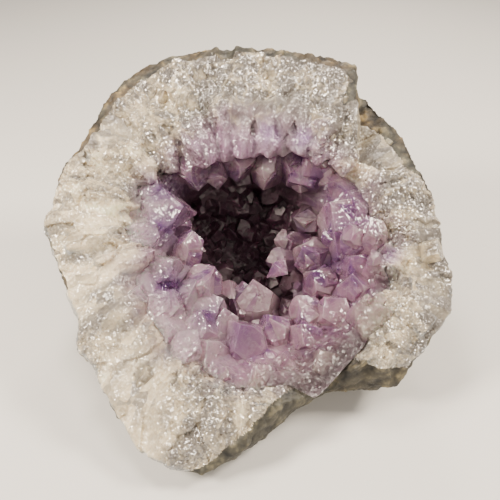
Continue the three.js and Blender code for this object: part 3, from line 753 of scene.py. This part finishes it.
grown_crystals = new_group("grown_crystals")
grown = []
for k, row in enumerate(LARGE_POINTS):
    tip, along, width = aimed(row)
    length = (LARGE_LENGTH["longer"] * row[5] + LARGE_LENGTH["more"]) * mm
    while length > LARGE_LENGTH["least"] * row[5] * mm and not rooted(tip, along, width, length):
        length *= LARGE_LENGTH["shorten"]
    grown_crystals.objects.link(crystal(tip, along, width, length, LARGE_DRAWS + k, GROWN_OVER))
    grown.append((tip, along, width))


def on_large_point(place):
    """True where a place lies on one of the large points, near its tip."""
    for tip, along, width in grown[: len(LARGE_POINTS)]:
        back = (tip - place).dot(along)
        beside = (place - tip + along * back).length
        along_it = NEAR_TIP["above"] * width < back < NEAR_TIP["below"] * width
        if along_it and beside < NEAR_TIP["round"] * width:
            return True
    return False


faces = sorted(lining_bm.faces, key=lambda f: f.index)
areas = np.cumsum([f.calc_area() for f in faces])
axis = face_frame.to_3x3() @ Vector((0, 0, 1))
for piece in range(SMALL_DRAWS, SMALL_DRAWS + SMALL_POINTS["tries"]):
    face = faces[int(np.searchsorted(areas, chance(piece, 1) * areas[-1]))]
    a, b, c = [v.co for v in face.verts][:3]
    u, v = sorted((chance(piece, 2), chance(piece, 3)))
    root = a * u + b * (v - u) + c * (1 - v)
    walled_in = rock_tree.ray_cast(root, face.normal, SMALL_POINTS["room"])[0] is not None
    if walled_in or face.normal.dot(axis) < SMALL_POINTS["facing"] or on_large_point(root):
        continue
    if (face_frame.inverted() @ root).z < BARE_FRONT["lift"] and root.y < BARE_FRONT["y"]:
        continue
    root_way, root_out, root_lift = [values[0] for values in on_face(np.array([root]))]
    on_left = THIN_LEFT["degrees"][0] < root_way < THIN_LEFT["degrees"][1] and root_lift > THIN_LEFT["lift"]
    if on_left and chance(piece, 8) < THIN_LEFT["share"]:
        continue
    if SMOOTH_FRONT["degrees"][0] < root_way < SMOOTH_FRONT["degrees"][1] and root_out > SMOOTH_FRONT["out"]:
        continue
    width = between(SMALL_POINTS["widths"], chance(piece, 4) ** 2) * mm
    along = face.normal + SMALL_POINTS["splay"] * Vector([chance(piece, 5 + i) - 0.5 for i in range(3)])
    tip = root + along.normalized() * width * (0.5 + 0.5 * chance(piece, 9))
    grown_crystals.objects.link(crystal(tip, along, width, SMALL_POINTS["longer"] * width, piece, 0))
    grown.append((tip, along, width))
lining_bm.free()
grow_together(lining, grown_crystals)

tips = KDTree(len(grown))
for k, (tip, along, width) in enumerate(grown):
    tips.insert(tip, k)
tips.balance()
from_tip = []
for vertex in lining.data.vertices:
    from_tip.append(min(gap / grown[k][2] for _, k, gap in tips.find_n(vertex.co, 6)))
points = read(lining.data, "co")
degrees, out, lift = on_face(points)
wander = wandering(points)

# On the left the points are broken off along the face, so they end in low flats
broken_off = in_part(BROKEN_OFF, degrees) * smoothstep(*BROKEN["out"], out)
heights_out, most_height = np.array(BROKEN_HEIGHTS).T
most_lift = np.interp(out, heights_out * mm, most_height * mm)
most_lift += flats(points, BROKEN, 41)
drop = broken_off * np.maximum(lift - most_lift, 0) * BROKEN["share"]
smooth_slope = in_part(SMOOTH_SLOPE, degrees) * smoothstep(*SLOPE["out"], out)
drop = np.maximum(drop, smooth_slope * np.maximum(lift - SLOPE["above"], 0) * SLOPE["share"])
points -= drop[:, None] * face_turn[:, 2]
place_corners(lining.data, points)

# Painted shade: the colour darkens to a dark purple down the hollow, and from higher up under the tall block,
# where little light reaches.
under_block = in_part(UNDER_BLOCK, degrees)
full_shade = (FULL_SHADE["lift"] + FULL_SHADE["higher_under_block"] * under_block) * mm
shade_from = (SHADE_FROM["lift"] + SHADE_FROM["higher_under_block"] * under_block) * mm
store(lining.data, "from_tip", np.array(from_tip))
store(lining.data, "broken_off", broken_off)
store(lining.data, "violet", violet_share(degrees, out))
store(lining.data, "hollow_shade", 1 - smoothstep(full_shade, shade_from, lift))
# Painted shade: below the face the milky haze darkens to a grey mauve, for the shade in the recesses.
store(lining.data, "low", 1 - smoothstep(*LOW_SHADE_FADE, lift))
store(lining.data, "milky", smoothstep(*MILKY_FADE, past_purple(degrees, out, wander)))

# Amethyst, quartz coloured violet by iron, with its natural faces. They are smooth as glass with low steps,
# so each gives one or two sharp glints and lets the eye look in, to wisps of haze and a colour that deepens
# towards the tip. Where it is milky or broken off, it is frosted and only glimmers.
POINT_PATTERNS = {
    "haze": 5 * mm, "wisps": 5 * mm, "steps": 2.4 * mm, "frost": 6 * mm, "grains": 0.8 * mm,
    "shells": 1.4 * mm,
}
POINT_LEAN = {"steps": 0.16, "shells": 1.1}
AMETHYST_DENSITY = 30.0
amethyst, tree = new_material("amethyst_natural_faces")
place = add(tree, "TexCoord").outputs["Object"]
tip_way, own, wear_and_highlight, hollow_shade, milky, sugared = [
    add(tree, "Attribute", attribute_name=name).outputs["Fac"]
    for name in ("from_tip", "own_draw", "worn_edge_and_highlight", "hollow_shade", "milky", "broken_off")
]
haze = add(tree, "TexNoise", {
    "Vector": place, "Scale": 1 / POINT_PATTERNS["haze"], "Detail": 5.0, "Roughness": 0.6, "Distortion": 0.6,
})
blend = add(tree, "Math", {0: tip_way, 1: 0.3, 2: haze.outputs["Fac"]}, operation="MULTIPLY_ADD")
blend = add(tree, "Math", {0: own, 1: 0.34, 2: blend.outputs[0]}, operation="MULTIPLY_ADD")
zones = add(tree, "ValToRGB", {"Fac": blend.outputs[0]}, stops=(
    (0.46, "#8a629c"), (0.6, "#ab84b0"), (0.74, "#c69cbc"), (0.88, "#dab8ca"), (1.0, "#e8ced8"),
))
wisps = add(tree, "TexNoise", {
    "Vector": place, "Scale": 1 / POINT_PATTERNS["wisps"], "Detail": 4.0, "Distortion": 1.2,
})
wisps = add(tree, "Math", {0: wisps.outputs["Fac"], 1: 0.5}, operation="SUBTRACT")
wisps = add(tree, "Math", {0: wisps.outputs[0]}, operation="ABSOLUTE")
wisps = add(tree, "MapRange", {0: wisps.outputs[0], 1: 0.0, 2: 0.025, 3: 0.45, 4: 0.0})
# Pale edges and wisps: the rounded edges are painted paler, partly as wear and partly as a painted highlight;
# the wisps are haze inside.
pale = add(tree, "Math", {0: wear_and_highlight, 1: 0.35, 2: wisps.outputs[0]}, operation="MULTIPLY_ADD",
           use_clamp=True)
edged = add(tree, "Mix", {0: pale.outputs[0], 6: zones.outputs["Color"], 7: linear("#f0e3dc")},
            data_type="RGBA")
# Painted shade: low down the haze goes grey mauve, for the shade in the recesses.
low = add(tree, "Attribute", attribute_name="low").outputs["Fac"]
haze_and_shade_colour = add(tree, "Mix", {0: low, 6: linear("#dcd0c0"), 7: linear("#625059")}, data_type="RGBA")
milked = add(tree, "Mix", {0: milky, 6: edged.outputs[2], 7: haze_and_shade_colour.outputs[2]}, data_type="RGBA")
violet = add(tree, "Attribute", attribute_name="violet").outputs["Fac"]
violet = add(tree, "Math", {0: violet, 1: haze.outputs["Fac"]}, operation="MULTIPLY")
violet = add(tree, "Math", {0: violet.outputs[0], 1: 1.6}, operation="MULTIPLY", use_clamp=True)
# On the broken-off points on the left a pale pink haze: partly the frosted break, and partly painted light
# that lifts the shade there.
left_haze_and_light = add(tree, "Math", {0: sugared, 1: 0.75}, operation="MULTIPLY")
milked = add(tree, "Mix", {0: left_haze_and_light.outputs[0], 6: milked.outputs[2], 7: linear("#f4e2ea")},
             data_type="RGBA")
milked = add(tree, "Mix", {0: violet.outputs[0], 6: milked.outputs[2], 7: linear("#855aa0")},
             data_type="RGBA")
# Painted shade: a dark purple over the hollow and under the block, where little light reaches.
body = add(tree, "Mix", {0: hollow_shade, 6: milked.outputs[2], 7: linear("#562e46")}, data_type="RGBA")
steps = add(tree, "TexVoronoi", {"Vector": place, "Scale": 1 / POINT_PATTERNS["steps"]})
step_lean = add(tree, "VectorMath", {0: steps.outputs["Color"], 1: half_way}, operation="SUBTRACT")
step_lean = add(tree, "VectorMath", {0: step_lean.outputs[0], "Scale": POINT_LEAN["steps"]},
                operation="SCALE")
frosted = add(tree, "TexNoise", {"Vector": place, "Scale": 1 / POINT_PATTERNS["frost"], "Detail": 2.0})
frosted = add(tree, "MapRange", {0: frosted.outputs["Fac"], 1: 0.5, 2: 0.58, 3: 0.0, 4: 0.8})
frosted = add(tree, "Math", {0: sugared, 1: 0.5, 2: frosted.outputs[0]}, operation="MULTIPLY_ADD")
frosted = add(tree, "Math", {0: milky, 1: 0.7, 2: frosted.outputs[0]}, operation="MULTIPLY_ADD")
grains = add(tree, "TexVoronoi", {"Vector": place, "Scale": 1 / POINT_PATTERNS["grains"]})
grain_lean = add(tree, "VectorMath", {0: grains.outputs["Color"], 1: half_way}, operation="SUBTRACT")
grain_lean = add(tree, "VectorMath", {0: grain_lean.outputs[0], "Scale": frosted.outputs[0]},
                 operation="SCALE")
upright = add(tree, "NewGeometry").outputs["Normal"]
shells = add(tree, "TexNoise", {
    "Vector": place, "Scale": 1 / POINT_PATTERNS["shells"], "Detail": 3.0, "Roughness": 0.6,
})
shell_lean = add(tree, "VectorMath", {0: shells.outputs["Color"], 1: half_way}, operation="SUBTRACT")
shell_lean = add(tree, "VectorMath", {0: shell_lean.outputs[0], "Scale": POINT_LEAN["shells"]},
                 operation="SCALE")
facet = upright
for lean in (step_lean, shell_lean, grain_lean):
    facet = add(tree, "VectorMath", {0: facet, 1: lean.outputs[0]}, operation="ADD").outputs[0]
facet = add(tree, "VectorMath", {0: facet}, operation="NORMALIZE").outputs[0]
gloss = add(tree, "MapRange", {0: hollow_shade, 1: 0.0, 2: 0.7, 3: 0.08, 4: 0.5})
gloss = add(tree, "Math", {0: milky, 1: 0.3, 2: gloss.outputs[0]}, operation="MULTIPLY_ADD")
shader = add(tree, "BsdfPrincipled", {
    "Base Color": body.outputs[2], "Roughness": gloss.outputs[0], "Normal": facet, "IOR": QUARTZ_IOR,
    "Transmission Weight": 0.75, "Subsurface Weight": 1.0, "Subsurface Radius": (1.0, 0.75, 0.95),
    "Subsurface Scale": 3 * mm,
})
volume = add(tree, "VolumeAbsorption", {"Color": linear("#e6c2d6"), "Density": AMETHYST_DENSITY})
add(tree, "OutputMaterial", {"Surface": shader.outputs[0], "Volume": volume.outputs[0]})
lining.data.materials.clear()
lining.data.materials.append(amethyst)
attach(lining, "root")
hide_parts("amethyst_crust")


# The quartz columns on the broken face
# Hazy quartz prisms, broken off short, that lie side by side and point at the hollow. They grew as part of
# the wall and are half sunk in it. Their flat sides and ends catch the light, and towards the hollow they
# take on the amethyst's colour.
BLOCK_SPAN = (35, 130)
BLOCK_AIM = 268
COLUMN_DRAWS = 5000
COLUMNS = {
    "count": 620, "widths": (3.5, 9), "lengths": (8, 18), "least_length": 2 * mm, "proud": (0.0, 0.9),
    "splay": 30, "raised": (0.1, 0.35), "sunk": 0.55, "shorten": 0.85,
}
COLUMN_RING = {"inner": 30, "inner_at_block": 38, "from_edge": 5, "root_from_edge": 3, "flat": 0.6}
LOOK_DOWN_FROM = 40
LOOK_DOWN_TO = 48 * mm
COLUMN_FADE = (-9 * mm, 7 * mm)
column_group = new_group("grown_columns")
columns = None
for piece in range(COLUMN_DRAWS, COLUMN_DRAWS + COLUMNS["count"]):
    deg = 360 * chance(piece, 1)
    on_block = BLOCK_SPAN[0] < deg < BLOCK_SPAN[1]
    reach = np.interp(deg, edge_angles, edge_steps) / mm
    inner = COLUMN_RING["inner_at_block"] if on_block else COLUMN_RING["inner"]
    share = chance(piece, 2)
    far = inner + (reach - COLUMN_RING["from_edge"] - inner) * share
    start = face_frame @ (face_way(deg, far, LOOK_DOWN_FROM) * mm)
    spot, way, _, drop = rock_tree.ray_cast(start, -axis)
    if spot is None or drop > LOOK_DOWN_TO or way.dot(axis) < COLUMN_RING["flat"]:
        continue
    size = chance(piece, 3) ** 1.5
    least, most = COLUMNS["widths"]
    width = (least + (most - least) * size * (1.15 - 0.6 * share)) * mm
    length = between(COLUMNS["lengths"], chance(piece, 4)) * mm
    proud = between(COLUMNS["proud"], chance(piece, 5)) * mm
    aim = (BLOCK_AIM if on_block else deg + 180) + COLUMNS["splay"] * (chance(piece, 6) - 0.5)
    inward = face_frame.to_3x3() @ face_way(aim, 1, 0)
    rise = COLUMNS["raised"][0] + COLUMNS["raised"][1] * chance(piece, 7)
    along = (inward - way * inward.dot(way)).normalized() + way * rise
    along.normalize()
    tip = spot + way * (proud - 0.5 * width)
    while length > COLUMNS["least_length"] and not sunk(tip - along * length, COLUMNS["sunk"] * width):
        length *= COLUMNS["shorten"]
    root_way, root_out, _ = [values[0] for values in on_face(np.array([tip - along * length]))]
    root_reach = np.interp(root_way, edge_angles, edge_steps) - COLUMN_RING["root_from_edge"] * mm
    if length <= COLUMNS["least_length"] or root_out > root_reach:
        continue
    made = crystal(tip, along, width, length, piece, 0)
    if columns is None:
        columns = made
        bpy.context.scene.collection.objects.link(columns)
    else:
        column_group.objects.link(made)

grow_together(columns, column_group)
columns.name = columns.data.name = "quartz_columns"
points = read(columns.data, "co")
degrees, out, lift = on_face(points)
wander = wandering(points)
store(columns.data, "purple", 1 - smoothstep(*COLUMN_FADE, past_purple(degrees, out, wander)))
place_corners(columns.data, np.clip(points, rock_low, rock_high))

# Hazy quartz with its natural faces, some of them broken. It is as clear as bathroom glass, grey where it
# is clear and cream where it is hazy. Its faces are chipped enough to sparkle, here in flats 1 mm wide.
COLUMN_PATTERNS = {"haze": 5 * mm, "sparkle": 1.0 * mm}
SPARKLE_LEAN = 2.0
hazy, tree = new_material("hazy_quartz_natural_faces")
place = add(tree, "TexCoord").outputs["Object"]
haze = add(tree, "TexNoise", {
    "Vector": place, "Scale": 1 / COLUMN_PATTERNS["haze"], "Detail": 5.0, "Roughness": 0.65,
})
milk = add(tree, "ValToRGB", {"Fac": haze.outputs["Fac"]}, stops=((0.35, "#8c857b"), (0.65, "#f0e0bd")))
purple_share = add(tree, "Attribute", attribute_name="purple").outputs["Fac"]
zone = add(tree, "Math", {0: purple_share, 1: haze.outputs["Fac"]}, operation="MULTIPLY")
zone = add(tree, "Math", {0: zone.outputs[0], 1: 1.4}, operation="MULTIPLY", use_clamp=True)
tinted = add(tree, "Mix", {"Factor": zone.outputs[0], 6: milk.outputs["Color"], 7: linear("#a583a0")},
             data_type="RGBA")
sparkle = add(tree, "TexNoise", {
    "Vector": place, "Scale": 1 / COLUMN_PATTERNS["sparkle"], "Detail": 3.0, "Roughness": 0.6,
})
lean = add(tree, "VectorMath", {0: sparkle.outputs["Color"], 1: half_way}, operation="SUBTRACT")
lean = add(tree, "VectorMath", {0: lean.outputs[0], "Scale": SPARKLE_LEAN}, operation="SCALE")
upright = add(tree, "NewGeometry").outputs["Normal"]
facet = add(tree, "VectorMath", {0: upright, 1: lean.outputs[0]}, operation="ADD")
facet = add(tree, "VectorMath", {0: facet.outputs[0]}, operation="NORMALIZE")
shader = add(tree, "BsdfPrincipled", {
    "Base Color": tinted.outputs[2], "Roughness": 0.12, "Normal": facet.outputs[0], "IOR": QUARTZ_IOR,
    "Transmission Weight": 0.6, "Subsurface Weight": 1.0, "Subsurface Radius": (1.0, 0.95, 0.9),
    "Subsurface Scale": 4 * mm,
})
add(tree, "OutputMaterial", {"Surface": shader.outputs[0]})
columns.data.materials.clear()
columns.data.materials.append(hazy)
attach(columns, "root")


# The floor
# A pale board under the stone, painted matt, so it gives a soft shadow and hardly any reflection.
FLOOR_HALF = 2
floor_mesh = bpy.data.meshes.new("floor")
bm = bmesh.new()
bmesh.ops.create_grid(bm, x_segments=1, y_segments=1, size=FLOOR_HALF)
bm.to_mesh(floor_mesh)
bm.free()
floor = bpy.data.objects.new("floor", floor_mesh)
bpy.context.scene.collection.objects.link(floor)
floor_paint, tree = new_material("matt_pale_floor")
shader = add(tree, "BsdfPrincipled", {"Base Color": linear("#cfcdc8"), "Roughness": 0.6})
add(tree, "OutputMaterial", {"Surface": shader.outputs[0]})
floor_mesh.materials.append(floor_paint)


# The lights and the camera
# Five small softboxes in a warm white give the crystals their glints, in a dim and even studio. The camera
# looks down at the stone from the photograph's place.
WORLD_LIGHT = 0.28
WARM_WHITE = "#fff1e0"
SOFTBOX_SIZE = 0.14
LIT_SPOT = Vector((0, 0, 0.04))
SOFTBOXES = [
    # name, place, power
    ("overhead_softbox", (-0.1, 0.14, 0.5), 2.1),
    ("left_softbox", (-0.38, -0.14, 0.34), 5.6),
    ("right_softbox", (0.38, 0.02, 0.4), 5.0),
    ("front_softbox", (0.1, -0.5, 0.45), 2.3),
    ("back_softbox", (0.08, 0.5, 0.34), 1.6),
]
world = bpy.data.worlds.new("studio")
world.use_nodes = True
world.node_tree.nodes["Background"].inputs["Color"].default_value = linear("#e8e8ec")
world.node_tree.nodes["Background"].inputs["Strength"].default_value = WORLD_LIGHT
bpy.context.scene.world = world

for name, spot, power in SOFTBOXES:
    lamp = bpy.data.lights.new(name, "AREA")
    lamp.size = SOFTBOX_SIZE
    lamp.energy = power
    lamp.color = linear(WARM_WHITE)[:3]
    light = bpy.data.objects.new(name, lamp)
    light.location = spot
    light.rotation_euler = (LIT_SPOT - Vector(spot)).to_track_quat("-Z", "Y").to_euler()
    bpy.context.scene.collection.objects.link(light)

# The photograph's own angle and distance
CAMERA_SPOT = (0.00165, -0.167, 0.165)
PHOTO_PITCH = 36.9
PHOTO_PIXELS = 500
FOCAL_PIXELS = 620
SENSOR = 36
lens = bpy.data.cameras.new("camera")
lens.sensor_width = SENSOR
lens.lens = SENSOR * FOCAL_PIXELS / PHOTO_PIXELS
camera = bpy.data.objects.new("camera", lens)
camera.location = CAMERA_SPOT
camera.rotation_euler = (math.radians(90 - PHOTO_PITCH), 0, 0)
bpy.context.scene.collection.objects.link(camera)
bpy.context.scene.camera = camera
